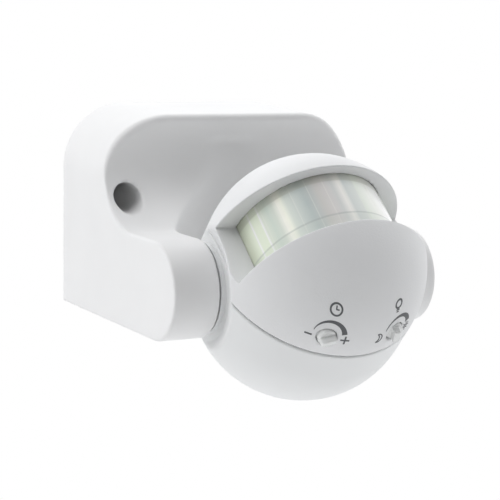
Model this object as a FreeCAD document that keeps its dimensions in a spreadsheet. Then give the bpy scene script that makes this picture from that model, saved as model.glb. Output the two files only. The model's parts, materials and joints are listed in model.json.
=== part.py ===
import FreeCAD, Part
import math
import os
import re

# A wall-mounted passive infrared motion sensor. A hollow bracket with two arms is screwed to the
# wall, and a ball-shaped head tilts between the arms on two hollow hubs. The head holds the
# half-round lens, the sensor board and two adjusting knobs under its chin.
#
# Frame of the model, in millimetres: X runs along the wall, +Y points into the wall, +Z is up.
# The origin is on the wall plane, midway between the two wall screws.
# The head has a frame of its own, with its origin on the tilt axis: x along the axis, -y the way
# the lens looks, z up through the head. tilt_rest leans it back from level.

Vector = FreeCAD.Vector
doc = FreeCAD.newDocument("MotionSensor")

# ---------------------------------------------------------------- driving dimensions

SIZES = [
    # bracket
    ("bracket_width", 80.0, "over both arms"),
    ("bracket_height", 59.0, "at the wall"),
    ("screw_height", 34.2, "wall screws above the bottom edge"),
    ("screw_offset", 34.0, "each wall screw from the middle"),
    ("corner_radius", 18.6, "upper corners, seen from the front"),
    ("top_slope", 2.9, "degrees that the top falls towards the front"),
    ("case_wall", 2.0, "wall of the bracket housing"),
    ("axis_reach", 64.7, "tilt axis in front of the wall"),
    ("lobe_radius", 13.3, "round ends of the arms"),
    ("sweep_radius", 18.6, "hollow front face above the arms"),
    ("half_gap", 26.9, "inner face of each arm from the middle"),
    ("pocket_reach", 57.0, "centre of the round pocket behind the head"),
    ("pocket_top", 51.0, "top of the pocket above the bottom edge"),
    ("counterbore_radius", 4.2, "wall screw heads"),
    ("wall_screw_radius", 2.25, "wall screw shanks"),
    ("plate_thick", 2.0, "base plate"),
    ("gasket_thick", 1.5, "foam gasket against the wall"),
    # head
    ("tilt_rest", 49.0, "degrees that the head leans back"),
    ("ball_radius", 30.0, "both halves of the ball"),
    ("ball_drop", 6.6, "ball centres below the tilt axis"),
    ("rear_centre", 5.0, "rear half-ball centre in front of the tilt axis"),
    ("seam_reach", 14.0, "front half-ball centre and the seam"),
    ("shell_wall", 1.8, "wall of both head shells"),
    ("side_flat", 25.0, "flat sides of the ball from the middle"),
    ("dish_radius", 14.4, "flat part of each side"),
    ("dish_flare", 2.15, "radius gained per millimetre outside the flat"),
    ("window_top", 3.2, "underside of the visor above the tilt axis"),
    ("window_bottom", 15.5, "lip of the chin below the tilt axis"),
    ("cheek_reach", 20.2, "cheeks beside the lens in front of the tilt axis"),
    ("lens_radius", 21.5, "outside of the half-round lens"),
    ("lens_centre", 17.9, "lens centre in front of the tilt axis"),
    ("lens_wall", 0.8, "lens thickness"),
    ("knob_offset", 10.0, "each knob from the middle"),
    ("knob_reach", 19.7, "knobs in front of the tilt axis"),
    ("knob_radius", 2.4, "knob discs"),
    ("knob_face", 34.4, "flat end of the knobs below the tilt axis"),
    # hubs
    ("hub_radius", 6.0, "hub barrel in the arm"),
    ("hub_bore", 4.0, "passage for the leads"),
    ("flange_radius", 12.5, "hub flange on the side of the ball"),
    ("flange_thick", 1.3, "hub flange"),
    ("ring_radius", 9.0, "rubber ring between flange and arm"),
    ("fit_gap", 0.05, "running clearance on a radius"),
    ("lead_radius", 1.9, "sheath of the leads"),
    # boards
    ("board_thick", 1.6, "both circuit boards"),
]

sheet = doc.addObject("Spreadsheet::Sheet", "Sizes")
for row, (alias, value, note) in enumerate(SIZES, 1):
    sheet.set("A%d" % row, alias)
    sheet.set("B%d" % row, str(value))
    sheet.set("C%d" % row, note)
    sheet.setAlias("B%d" % row, alias)
doc.recompute()

VALUE = {alias: value for alias, value, note in SIZES}
ALIASES = re.compile(r"\b(%s)\b" % "|".join(VALUE))


def bound(text):
    """An expression on the sheet's aliases, as FreeCAD writes it."""
    return ALIASES.sub(r"Sizes.\1", str(text))


# ---------------------------------------------------------------- building blocks

TURNS = {
    "x": FreeCAD.Rotation(Vector(0, 1, 0), 90),
    "y": FreeCAD.Rotation(Vector(1, 0, 0), -90),
    "z": FreeCAD.Rotation(),
}


def place(piece, corner):
    for letter, text in zip("xyz", corner):
        piece.setExpression("Placement.Base." + letter, bound(text))
    return piece


def primitive(kind, name, corner, axis="z", **sizes):
    piece = doc.addObject("Part::" + kind, name)
    piece.Placement = FreeCAD.Placement(Vector(), TURNS[axis])
    for prop, text in sizes.items():
        piece.setExpression(prop, bound(text))
    return place(piece, corner)


def box(name, x, y, z):
    """A box between two values on each axis."""
    spans = [("(%s) - (%s)" % (high, low)) for low, high in (x, y, z)]
    return primitive("Box", name, (x[0], y[0], z[0]), Length=spans[0], Width=spans[1],
                     Height=spans[2])


def cylinder(name, radius, start, length, axis="z"):
    return primitive("Cylinder", name, start, axis, Radius=radius, Height=length)


def cone(name, radius, end_radius, start, length, axis="z"):
    return primitive("Cone", name, start, axis, Radius1=radius, Radius2=end_radius, Height=length)


def fuse(name, *pieces):
    union = doc.addObject("Part::MultiFuse", name)
    union.Shapes = list(pieces)
    union.Refine = True
    return union


def common(name, *pieces):
    both = doc.addObject("Part::MultiCommon", name)
    both.Shapes = list(pieces)
    return both


def cut(name, base, *tools):
    if len(tools) > 1:
        tools = (fuse(name + "_tools", *tools),)
    rest = doc.addObject("Part::Cut", name)
    rest.Base = base
    rest.Tool = tools[0]
    rest.Refine = True
    return rest


def rounded(name, piece, radius, wanted):
    """Fillets on the edges that a test picks."""
    doc.recompute()
    chosen = [n for n, edge in enumerate(piece.Shape.Edges, 1) if wanted(edge)]
    soft = doc.addObject("Part::Fillet", name)
    soft.Base = piece
    soft.Edges = [(n, radius, radius) for n in chosen]
    return soft


NODES = {}


def node(label, piece):
    """Names a finished sub-part. The label becomes the name of its file."""
    piece.Label = label
    NODES[label] = piece
    return piece


def head_node(label, piece):
    """A sub-part drawn in the head's frame, leant back and moved to the tilt axis."""
    holder = doc.addObject("Part::Compound", label + "_in_head")
    holder.Links = [piece]
    holder.Placement = FreeCAD.Placement(Vector(), FreeCAD.Rotation(Vector(1, 0, 0), 1))
    holder.setExpression("Placement.Rotation.Angle", bound("-tilt_rest"))
    place(holder, (0, "-axis_reach", AXIS_Z))
    return node(label, holder)


BOTTOM = "-screw_height"
TOP = "bracket_height - screw_height"
AXIS_Z = "lobe_radius - screw_height"
SIDES = (("left", -1), ("right", 1))
PAST = 10.0         # how far a cutting shape runs past the face that it cuts

# ---------------------------------------------------------------- bracket housing


POCKET_ROUND = 3.0  # upper edge of the pocket behind the head
SWEEP_BEHIND = 15.3 # middle of the sweep above the arms, behind the tilt axis


def bracket_form(tag, inset, back):
    """The bracket as a solid, or its inside when inset is the wall."""
    def name(part):
        return tag + "_" + part
    half = "bracket_width / 2 - %s" % inset
    inner_half = "bracket_width / 2 - corner_radius"
    shoulder = "%s - corner_radius" % TOP
    front = "-axis_reach - lobe_radius - %g" % PAST
    floor = "%s + %s" % (BOTTOM, inset)
    low = "%s - %g" % (BOTTOM, PAST)
    deep = "2 * %g + %s" % (PAST, back)
    # seen from the front: straight sides and two round upper corners
    corners = [cylinder(name("corner_" + side), "corner_radius - %s" % inset,
                        ("%d * (%s)" % (sign, inner_half), front, shoulder),
                        "%s - (%s)" % (deep, front), "y") for side, sign in SIDES]
    outline = fuse(name("outline"), *corners,
                   box(name("wide"), ("-(%s)" % half, half), (front, deep), (low, shoulder)),
                   box(name("high"), ("-(%s)" % inner_half, inner_half), (front, deep),
                       (low, "%s - %s" % (TOP, inset))))
    outline.Placement = FreeCAD.Placement(
        Vector(), FreeCAD.Rotation(Vector(1, 0, 0), VALUE["top_slope"]),
        Vector(0, 0, VALUE["bracket_height"] - VALUE["screw_height"]))
    # seen from the side: a block, the round arm ends, and a round sweep above the arms
    block = box(name("block"), ("-(%s)" % half, half), ("-axis_reach", back), (floor, TOP))
    lobe = cylinder(name("lobe"), "lobe_radius - %s" % inset,
                    ("-(%s)" % half, "-axis_reach", AXIS_Z), "2 * (%s)" % half, "x")
    arm_top = "%s + 2 * lobe_radius - %s" % (BOTTOM, inset)
    sweep_y = "-axis_reach + %g" % SWEEP_BEHIND
    sweep_z = "%s + 2 * lobe_radius + sweep_radius" % BOTTOM
    sweep = cylinder(name("sweep"), "sweep_radius + %s" % inset,
                     ("-(%s) - 1" % half, sweep_y, sweep_z), "2 * (%s) + 2" % half, "x")
    above = box(name("above"), ("-(%s) - 1" % half, "%s + 1" % half),
                (front, sweep_y), (arm_top, "%s + %g" % (TOP, PAST)))
    profile = cut(name("profile"), fuse(name("sum"), block, lobe), sweep, above)
    return common(name("form"), outline, profile)


def pocket_form(tag, grow):
    """The U-shaped space between the arms, which the ball swings in."""
    radius = "half_gap + %s" % grow
    low = "%s - %g" % (BOTTOM, PAST)
    round_end = cylinder(tag + "_round", radius, (0, "-pocket_reach", low),
                         "%s + pocket_top + %s - (%s)" % (BOTTOM, grow, low))
    soft_end = rounded(tag + "_soft", round_end, POCKET_ROUND,
                       lambda edge: edge.BoundBox.ZLength < 0.1 and edge.CenterOfMass.z > 0)
    mouth = box(tag + "_mouth", ("-(%s)" % radius, radius),
                ("-axis_reach - 3 * %g" % PAST, "-pocket_reach"), (low, TOP))
    return fuse(tag, soft_end, mouth)


outer_form = bracket_form("outer", "0", "0")
pocket = pocket_form("pocket", "0")
outer_shape = cut("outer_shape", outer_form, pocket)

inner_form = bracket_form("inner", "case_wall", "1")
pocket_wall = pocket_form("pocket_wall", "case_wall")
inner_shape = cut("inner_shape", inner_form, pocket_wall)
shell = cut("bracket_shell", outer_shape, inner_shape)

POST_WALL = 1.8
POST_REACH = 45
WELL_REACH = 70
WELL_FLOOR = 2.0
screw_posts = [cylinder("screw_post_" + side, "counterbore_radius + %g" % POST_WALL,
                        ("%d * screw_offset" % sign, -POST_REACH, 0),
                        "%d - plate_thick - gasket_thick" % POST_REACH, "y")
               for side, sign in SIDES]
# screws of the base plate: x, z and the length of the post that each one bites into
FIXING_CORE = 1.0
FIXING_POST = 3.2
PLATE_FIXINGS = [(-29, 15, 34), (29, 15, 34), (-35, -29.2, 16), (35, -29.2, 16)]
plate_posts = [cylinder("plate_post_%d" % n, FIXING_POST, (x, -depth, z),
                        "%d - plate_thick - gasket_thick" % depth, "y")
               for n, (x, z, depth) in enumerate(PLATE_FIXINGS)]
posts = common("posts", fuse("all_posts", *screw_posts, *plate_posts), outer_shape)
counterbores = [cylinder("counterbore_" + side, "counterbore_radius",
                         ("%d * screw_offset" % sign, -WELL_REACH, 0),
                         "%d - plate_thick - gasket_thick - %g" % (WELL_REACH, WELL_FLOOR), "y")
                for side, sign in SIDES]
FIXING_DEPTH = 12


def wall_holes(tag):
    """The two holes that the wall screws pass through."""
    return [cylinder("%s_screw_%s" % (tag, side), "wall_screw_radius",
                     ("%d * screw_offset" % sign, -PAST, 0), PAST + 1, "y")
            for side, sign in SIDES]


fixing_holes = [cylinder("fixing_hole_%d" % n, FIXING_CORE, (x, -FIXING_DEPTH, z),
                         FIXING_DEPTH, "y")
                for n, (x, z, depth) in enumerate(PLATE_FIXINGS)]
hub_holes = cylinder("hub_holes", "hub_radius + fit_gap",
                     ("-half_gap - case_wall - 1", "-axis_reach", AXIS_Z),
                     "2 * (half_gap + case_wall + 1)", "x")
node("bracket_housing", cut("housing", fuse("housing_sum", shell, posts),
                            *counterbores, *wall_holes("housing"), *fixing_holes, hub_holes))


# ---------------------------------------------------------------- back of the bracket


def plate_outline(tag, inset, y_low, y_high):
    """A sheet with the outline of the housing's inside."""
    half = "bracket_width / 2 - case_wall - %s" % inset
    inner_half = "bracket_width / 2 - corner_radius"
    shoulder = "%s - corner_radius" % TOP
    low = "%s + case_wall + %s" % (BOTTOM, inset)
    high = "%s - case_wall - %s" % (TOP, inset)
    depth = "(%s) - (%s)" % (y_high, y_low)
    corners = [cylinder(tag + "_corner_" + side, "corner_radius - case_wall - %s" % inset,
                        ("%d * (%s)" % (sign, inner_half), y_low, shoulder), depth, "y")
               for side, sign in SIDES]
    return fuse(tag + "_outline", *corners,
                box(tag + "_wide", ("-(%s)" % half, half), (y_low, y_high), (low, shoulder)),
                box(tag + "_high", ("-(%s)" % inner_half, inner_half), (y_low, y_high),
                    (low, high)))


PLATE_FRONT = "-plate_thick - gasket_thick"
CABLE_X = 22.0
CABLE_Z = -22.0
CABLE_RADIUS = 4.0
GROMMET_NECK = 6.0


CLAMP_Z = -11.0
CLAMP_HALF = (9.5, 2.5)
CLAMP_X = (CABLE_X - CLAMP_HALF[0], CABLE_X + CLAMP_HALF[0])
CLAMP_SPAN = (CLAMP_Z - CLAMP_HALF[1], CLAMP_Z + CLAMP_HALF[1])
CLAMP_BACK = -6.0
CLAMP_THICK = 3.0
CLAMP_SCREWS = [CABLE_X - 7, CABLE_X + 7]
BOARD_Y = -10.0
BOARD_X = (-24.0, 24.0)
BOARD_Z = (-4.0, 20.0)
BOARD_SCREWS = [(-21.5, -1.0), (21.5, -1.0)]
BOARD_POST = 2.5
SMALL_CORE = 0.9
board_posts = [cylinder("board_post_%d" % n, BOARD_POST, (x, BOARD_Y, z),
                        "%g - plate_thick - gasket_thick" % -BOARD_Y, "y")
               for n, (x, z) in enumerate(BOARD_SCREWS)]
clamp_rest = box("clamp_rest", CLAMP_X, (CLAMP_BACK, PLATE_FRONT), CLAMP_SPAN)
plate_fixing_holes = [cylinder("plate_fixing_%d" % n, FIXING_CORE + 0.3, (x, -PAST, z),
                               PAST + 1, "y")
                      for n, (x, z, depth) in enumerate(PLATE_FIXINGS)]
CORE_STOP = 2.5     # blind screw holes end this far in front of the wall
board_cores = [cylinder("board_core_%d" % n, SMALL_CORE, (x, -2 * PAST, z),
                        2 * PAST - CORE_STOP, "y") for n, (x, z) in enumerate(BOARD_SCREWS)]
clamp_cores = [cylinder("clamp_core_%d" % n, SMALL_CORE, (x, -PAST, CLAMP_Z), PAST - CORE_STOP,
                        "y") for n, x in enumerate(CLAMP_SCREWS)]
grommet_hole = cylinder("grommet_hole", GROMMET_NECK, (CABLE_X, -PAST, CABLE_Z), PAST + 1, "y")
node("base_plate", cut("plate", fuse("plate_sum", plate_outline("plate", 0.2, PLATE_FRONT,
                                                                "-gasket_thick"),
                                     *board_posts, clamp_rest),
                       *wall_holes("plate"), *plate_fixing_holes, *board_cores, *clamp_cores,
                       grommet_hole))

GASKET_BAND = 5.5
GASKET_PAD = 6.0
GASKET_FIXING = 2.3
node("wall_gasket", cut("gasket",
                        fuse("gasket_sum",
                             cut("gasket_ring", plate_outline("gasket", 0.3, "-gasket_thick", 0),
                                 plate_outline("gasket_inner", GASKET_BAND, "-gasket_thick", 0)),
                             *[common("gasket_pad_" + side,
                                      cylinder("gasket_pad_round_" + side, GASKET_PAD,
                                               ("%d * screw_offset" % sign, "-gasket_thick", 0),
                                               "gasket_thick", "y"),
                                      plate_outline("gasket_edge_" + side, 0.3,
                                                    "-gasket_thick", 0))
                               for side, sign in SIDES]),
                        *wall_holes("gasket"),
                        cylinder("gasket_grommet", GROMMET_NECK + 0.2, (CABLE_X, -4, CABLE_Z), 5,
                                 "y"),
                        *[cylinder("gasket_fixing_%d" % n, GASKET_FIXING, (x, -4, z), 5, "y")
                          for n, (x, z, depth) in enumerate(PLATE_FIXINGS)]))


HEAD_PART = 0.6     # head thickness and slot length, as parts of the head radius
SLOT_HALF = 0.2


def pan_screws(label, places, head, core, length, way=-1, recess=0.35):
    """Cross-head screws that point along -y, or along +y when way is 1.

    Each place is x, y under the head, z.
    """
    solids = []
    for n, (x, y, z) in enumerate(places):
        tag = "%s_%d" % (label, n)
        thick = head * HEAD_PART
        head_low = "%s%s" % (y, "" if way < 0 else " - %g" % thick)
        core_low = "%s%s" % (y, " - %g" % length if way < 0 else " - 0.2")
        body = fuse(tag + "_body",
                    cylinder(tag + "_head", head, (x, head_low, z), thick, "y"),
                    cylinder(tag + "_core", core, (x, core_low, z), length + 0.2, "y"))
        slot_low = "%s + %g" % (y, thick - recess) if way < 0 else "%s - %g" % (y, head)
        slot_high = "%s + %g" % (y, head) if way < 0 else "%s - %g" % (y, thick - recess)
        arm = head * HEAD_PART
        slots = [box("%s_slot_%d" % (tag, k), (x - wide, x + wide), (slot_low, slot_high),
                     (z - tall, z + tall))
                 for k, (wide, tall) in enumerate(((arm, SLOT_HALF), (SLOT_HALF, arm)))]
        solids.append(cut(tag, body, *slots))
    return solids


node("base_plate_screws", fuse("plate_screws", *pan_screws(
    "plate_screw", [(x, "-gasket_thick", z) for x, z, depth in PLATE_FIXINGS], 2.0, 0.98, 9)))

grommet = fuse("grommet_sum",
               cylinder("grommet_neck", GROMMET_NECK - 0.05,
                        (CABLE_X, "%s - 1.5" % PLATE_FRONT, CABLE_Z),
                        "1.5 + plate_thick + gasket_thick", "y"),
               cylinder("grommet_lip", GROMMET_NECK + 1.5,
                        (CABLE_X, "%s - 1.5" % PLATE_FRONT, CABLE_Z), 1.45, "y"),
               cone("grommet_cone", 4.8, GROMMET_NECK - 0.3,
                    (CABLE_X, "%s - 4" % PLATE_FRONT, CABLE_Z), 2.6, "y"))
node("cable_grommet", cut("grommet", grommet,
                          cylinder("grommet_bore", CABLE_RADIUS, (CABLE_X, -20, CABLE_Z), 21,
                                   "y")))

node("cable_clamp", cut("clamp",
                        box("clamp_bar", CLAMP_X, (CLAMP_BACK - CLAMP_THICK, CLAMP_BACK),
                            CLAMP_SPAN),
                        *[cylinder("clamp_hole_%d" % n, SMALL_CORE + 0.4,
                                   (x, -2 * PAST, CLAMP_Z), 2 * PAST - 2, "y")
                          for n, x in enumerate(CLAMP_SCREWS)]))
node("clamp_screws", fuse("clamp_screw_set", *pan_screws(
    "clamp_screw", [(x, CLAMP_BACK - CLAMP_THICK, CLAMP_Z) for x in CLAMP_SCREWS],
    2.0, 0.88, 6, way=1)))

# terminal block for the mains leads, with a brass cage and a screw for each pole
POLE_PITCH = 9.0
POLES = [-10.0 + POLE_PITCH * k for k in (-1, 0, 1)]
BLOCK_Y = (-15.0, PLATE_FRONT)
BLOCK_Z = (-30.5, -19.5)
BLOCK_END = 4.8
POLE_Z = -25.0
CAGE_HALF = (2.7, 4.0)
CAGE_Y = (-12.5, -6.5)
WIRE_HALF = 1.9
WIRE_Y = (-10.7, -7.3)
DRIVER = 2.2
CAGE_SCREW = (2.1, 1.45, 2.4)   # head radius, thread radius and length
cages = []
cage_screws = []
wells = []
for n, x in enumerate(POLES):
    tag = "pole_%d" % n
    cage_x = (x - CAGE_HALF[0], x + CAGE_HALF[0])
    cage_z = (POLE_Z - CAGE_HALF[1], POLE_Z + CAGE_HALF[1])
    wire_x = (x - WIRE_HALF, x + WIRE_HALF)
    wire_z = (POLE_Z - PAST, POLE_Z + PAST)
    cages.append(cut(tag + "_cage", box(tag + "_cage_body", cage_x, CAGE_Y, cage_z),
                     box(tag + "_cage_slot", wire_x, WIRE_Y, wire_z),
                     cylinder(tag + "_cage_thread", CAGE_SCREW[1] + 0.05,
                              (x, CAGE_Y[0] - 0.5, POLE_Z), 3, "y")))
    wells += [box(tag + "_well", cage_x, CAGE_Y, cage_z),
              box(tag + "_wire", wire_x, WIRE_Y, wire_z),
              cylinder(tag + "_driver", DRIVER, (x, BLOCK_Y[0] - 1, POLE_Z), 4, "y")]
    cage_screws += pan_screws(tag + "_screw", [(x, CAGE_Y[0] - 0.1, POLE_Z)], *CAGE_SCREW,
                              way=1)
node("terminal_block", cut("block", box("block_body", (POLES[0] - BLOCK_END,
                                                       POLES[-1] + BLOCK_END),
                                        BLOCK_Y, BLOCK_Z), *wells))
node("terminal_cages", fuse("cage_set", *cages))
node("terminal_screws", fuse("cage_screw_set", *cage_screws))

# power board on two posts of the base plate, its parts facing forward
BOARD_FRONT = "%g - board_thick" % BOARD_Y
node("power_board", cut("power_sheet",
                        box("power_sheet_body", BOARD_X, (BOARD_FRONT, BOARD_Y), BOARD_Z),
                        *[cylinder("power_hole_%d" % n, 1.2, (x, -15, z), 8, "y")
                          for n, (x, z) in enumerate(BOARD_SCREWS)]))
node("power_board_screws", fuse("power_screw_set", *pan_screws(
    "power_screw", [(x, BOARD_FRONT, z) for x, z in BOARD_SCREWS], 1.9, 0.88, 6, way=1)))


def on_board(name, x, height, z, lift=0):
    """A box that stands on the front of the power board."""
    return box(name, x, ("%s - %g" % (BOARD_FRONT, height), "%s - %g" % (BOARD_FRONT, lift)), z)


node("relay", fuse("relay_sum", on_board("relay_case", (-7.5, 11), 15, (2, 17.5), 0.5),
                   on_board("relay_foot", (-7, 10.5), 0.6, (2.5, 17))))
node("film_capacitor", fuse("film_sum", on_board("film_case", (13, 20), 12.5, (1.5, 17.5), 0.4),
                            on_board("film_foot", (14, 19), 0.5, (3, 16))))
CAN_X, CAN_Z, CAN_RADIUS = -13.0, 14.0, 4.5
node("electrolytic_capacitor",
     fuse("can_sum",
          cylinder("can_body", CAN_RADIUS, (CAN_X, "%s - 13" % BOARD_FRONT, CAN_Z), 12.4, "y"),
          cylinder("can_rim", CAN_RADIUS - 0.35, (CAN_X, "%s - 13.3" % BOARD_FRONT, CAN_Z), 13.3,
                   "y")))
VARISTOR_Y = "%s - 6.5" % BOARD_FRONT
node("varistor",
     fuse("varistor_sum",
          cylinder("varistor_disc", 4.4, (CAN_X, VARISTOR_Y, 1.5), 3.6),
          *[cylinder("varistor_leg_%d" % k, 0.35, (CAN_X + 2.5 * k, "%s - 3" % BOARD_FRONT, 3.3),
                     3, "y") for k in (-1, 1)]))
LEAD_X, LEAD_Z = -21.0, 12.0
node("lead_socket", on_board("lead_socket_case", (LEAD_X - 2.6, LEAD_X + 2.6), 7,
                             (LEAD_Z - 4, LEAD_Z + 4)))

# ---------------------------------------------------------------- head shells


def slab(tag, reach_low, reach_high):
    """Everything of the head between two distances in front of the tilt axis."""
    return box(tag, (-50, 50), ("-(%s)" % reach_high, "-(%s)" % reach_low), (-60, 60))


def ball_form(tag, inset):
    """The ball with its two dished sides, shrunk by inset."""
    radius = "ball_radius - %s" % inset
    ball = fuse(tag + "_ball",
                primitive("Sphere", tag + "_rear", (0, "-rear_centre", "-ball_drop"), "y",
                          Radius=radius, Angle1="0", Angle2="90"),
                primitive("Sphere", tag + "_front", (0, "-seam_reach", "-ball_drop"), "y",
                          Radius=radius, Angle1="-90", Angle2="0"),
                cylinder(tag + "_belt", radius, (0, "-seam_reach", "-ball_drop"),
                         "seam_reach - rear_centre", "y"))
    depth = 8
    flat = "dish_radius + 0.4 * (%s)" % inset
    rim = "%s + %d * dish_flare" % (flat, depth)
    face = "side_flat - %s" % inset
    return cut(tag, ball,
               cone(tag + "_dish_right", flat, rim, (face, 0, 0), depth, "x"),
               cone(tag + "_dish_left", rim, flat, ("-(%s) - %d" % (face, depth), 0, 0), depth,
                    "x"))


REAR_EDGE = "seam_reach - 0.5"
HEAD_SCREWS = [(-15, 9), (15, 9), (0, -29)]
SCREW_SEAT = 2.0
ball = ball_form("ball", "0")
hollow = ball_form("hollow", "shell_wall")

rear_solid = common("rear_solid", ball, slab("rear_half", -60, REAR_EDGE))
rear_tubes = common("rear_tubes", ball, fuse("rear_tube_set", *[
    cylinder("rear_tube_%d" % n, 3.6, (x, "-(%s)" % REAR_EDGE, z), 60, "y")
    for n, (x, z) in enumerate(HEAD_SCREWS)]))
rear_wells = [cylinder("rear_well_%d" % n, 2.8, (x, -SCREW_SEAT, z), 60, "y")
              for n, (x, z) in enumerate(HEAD_SCREWS)]
rear_holes = [cylinder("rear_hole_%d" % n, 1.4, (x, -20, z), 20, "y")
              for n, (x, z) in enumerate(HEAD_SCREWS)]
SPIGOT = 5.4
side_holes = cylinder("side_holes", SPIGOT + 0.02, (-30, 0, 0), 60, "x")
head_node("head_rear_shell", cut("rear_shell",
                                 fuse("rear_sum", cut("rear_skin", rear_solid, hollow),
                                      rear_tubes),
                                 *rear_wells, *rear_holes, side_holes))

front_solid = common("front_solid", ball, slab("front_half", "seam_reach", 60))
window = box("window", (-50, 50), (-60, "-cheek_reach"), ("-window_bottom", "window_top"))
window_walls = box("window_walls", (-50, 50), (-60, "-cheek_reach + shell_wall"),
                   ("-window_bottom - shell_wall", "window_top + shell_wall"))
LENS_FIT = "lens_radius + 0.25"
lens_low = "-window_bottom - shell_wall - 0.1"
lens_high = "window_top + shell_wall + 0.1"
lens_opening = common("lens_opening",
                      cylinder("lens_opening_round", LENS_FIT, (0, "-lens_centre", lens_low),
                               "(%s) - (%s)" % (lens_high, lens_low)),
                      slab("lens_opening_half", "lens_centre - 3", 60))
front_bosses = [cylinder("front_boss_%d" % n, 3.0, (x, -40, z), "40 - seam_reach - 0.05", "y")
                for n, (x, z) in enumerate(HEAD_SCREWS)]
SENSOR_SCREWS = [(-16, -21), (16, -21)]
BOARD_REACH = 13.4
SENSOR_FRONT = "(%g + board_thick)" % BOARD_REACH
sensor_bosses = [cylinder("sensor_boss_%d" % n, 2.1, (x, -40, z), "40 - %s" % SENSOR_FRONT, "y")
                 for n, (x, z) in enumerate(SENSOR_SCREWS)]
ledge = common("ledge", slab("ledge_band", "seam_reach", "seam_reach + 1.5"),
               cut("ledge_ring", ball_form("ledge_out", "1.5"), ball_form("ledge_in", "2.9")))
tongue = common("tongue", slab("tongue_band", "seam_reach - 2.5", "seam_reach + 0.2"),
                cut("tongue_ring", ball_form("tongue_out", "1.9"), ball_form("tongue_in", "2.9")))
knob_holes = [cylinder("knob_hole_" + side, "knob_radius + 0.2",
                       ("%d * knob_offset" % sign, "-knob_reach", -40), 12)
              for side, sign in SIDES]
front_cores = [cylinder("front_core_%d" % n, 1.22, (x, -22, z), 22, "y")
               for n, (x, z) in enumerate(HEAD_SCREWS)]
sensor_cores = [cylinder("sensor_core_%d" % n, 0.9, (x, -22, z), 8, "y")
                for n, (x, z) in enumerate(SENSOR_SCREWS)]
front_walls = fuse("front_walls",
                   cut("front_skin", front_solid, cut("front_room", hollow, window_walls)),
                   common("front_boss_set", front_solid,
                          fuse("front_boss_sum", *front_bosses, *sensor_bosses)),
                   ledge, tongue)
front_opened = cut("front_opened", front_walls, window, lens_opening)
head_node("head_front_shell", cut("front_shell", front_opened, *knob_holes, *front_cores,
                                  *sensor_cores))

head_node("head_seal", common("seal", slab("seal_band", REAR_EDGE, "seam_reach"),
                              cut("seal_ring", ball_form("seal_out", "0.6"),
                                  ball_form("seal_in", "1.85"))))
head_node("head_screws", fuse("head_screw_set", *pan_screws(
    "head_screw", [(x, -SCREW_SEAT, z) for x, z in HEAD_SCREWS], 2.4, 1.2, 18)))

# ---------------------------------------------------------------- lens and its frame

LENS_MARGIN = 1.7   # the lens runs this far behind the edges of the window
LENS_LOW = "-window_bottom - %g" % LENS_MARGIN
LENS_HIGH = "window_top + %g" % LENS_MARGIN
LENS_TALL = "(%s) - (%s)" % (LENS_HIGH, LENS_LOW)
FLANGE_BACK = 0.7   # backs of the flanges behind the middle of the lens
FLANGE = ("0.1 + shell_wall - cheek_reach", "%g - lens_centre" % FLANGE_BACK)
half_tube = common("lens_half",
                   cut("lens_tube",
                       cylinder("lens_out", "lens_radius", (0, "-lens_centre", LENS_LOW),
                                LENS_TALL),
                       cylinder("lens_in", "lens_radius - lens_wall",
                                (0, "-lens_centre", LENS_LOW), LENS_TALL)),
                   slab("lens_front", "lens_centre - %g" % FLANGE_BACK, 60))
LENS_HALF = 24.0
flanges = [box("flange_right", ("lens_radius - lens_wall", LENS_HALF), FLANGE,
               (LENS_LOW, LENS_HIGH)),
           box("flange_left", (-LENS_HALF, "lens_wall - lens_radius"), FLANGE,
               (LENS_LOW, LENS_HIGH))]
head_node("fresnel_lens", fuse("lens_sum", half_tube, *flanges))

FRAME_FRONT = "lens_centre - %g" % FLANGE_BACK
FRAME_BACK = "lens_centre - 2.1"
FRAME_HALF = 23.3
FRAME_OPEN = 19.5
FRAME_POST = 1.4
frame_posts = [cylinder("frame_post_%d" % n, FRAME_POST, (x, "-(%s)" % FRAME_BACK, z),
                        "%s - %s" % (FRAME_BACK, SENSOR_FRONT), "y")
               for n, (x, z) in enumerate([(-17.5, 2.3), (17.5, 2.3), (-17.5, -15.7),
                                           (17.5, -15.7)])]
head_node("lens_frame", fuse("frame_sum",
                             cut("frame_ring",
                                 box("frame_body", (-FRAME_HALF, FRAME_HALF),
                                     ("-(%s)" % FRAME_FRONT, "-(%s)" % FRAME_BACK),
                                     (LENS_LOW, LENS_HIGH)),
                                 box("frame_opening", (-FRAME_OPEN, FRAME_OPEN), (-30, 0),
                                     ("-window_bottom + 0.8", "window_top - 1.5"))),
                             *frame_posts))

# ---------------------------------------------------------------- sensor board and its parts


def ahead(name, radius, x, z, low, high):
    """A round part on the front of the sensor board, between two reaches."""
    return cylinder(name, radius, (x, "-(%s)" % high, z), "(%s) - (%s)" % (high, low), "y")


head_node("sensor_board", cut("sensor_sheet",
                              box("sensor_sheet_body", (-19.5, 19.5),
                                  ("-%s" % SENSOR_FRONT, -BOARD_REACH), (-24, 3.8)),
                              *[cylinder("sensor_hole_%d" % n, 1.1, (x, -20, z), 10, "y")
                                for n, (x, z) in enumerate(SENSOR_SCREWS)]))
head_node("sensor_board_screws", fuse("sensor_screw_set", *pan_screws(
    "sensor_screw", [(x, -BOARD_REACH, z) for x, z in SENSOR_SCREWS], 1.8, 0.88, 6)))

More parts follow.
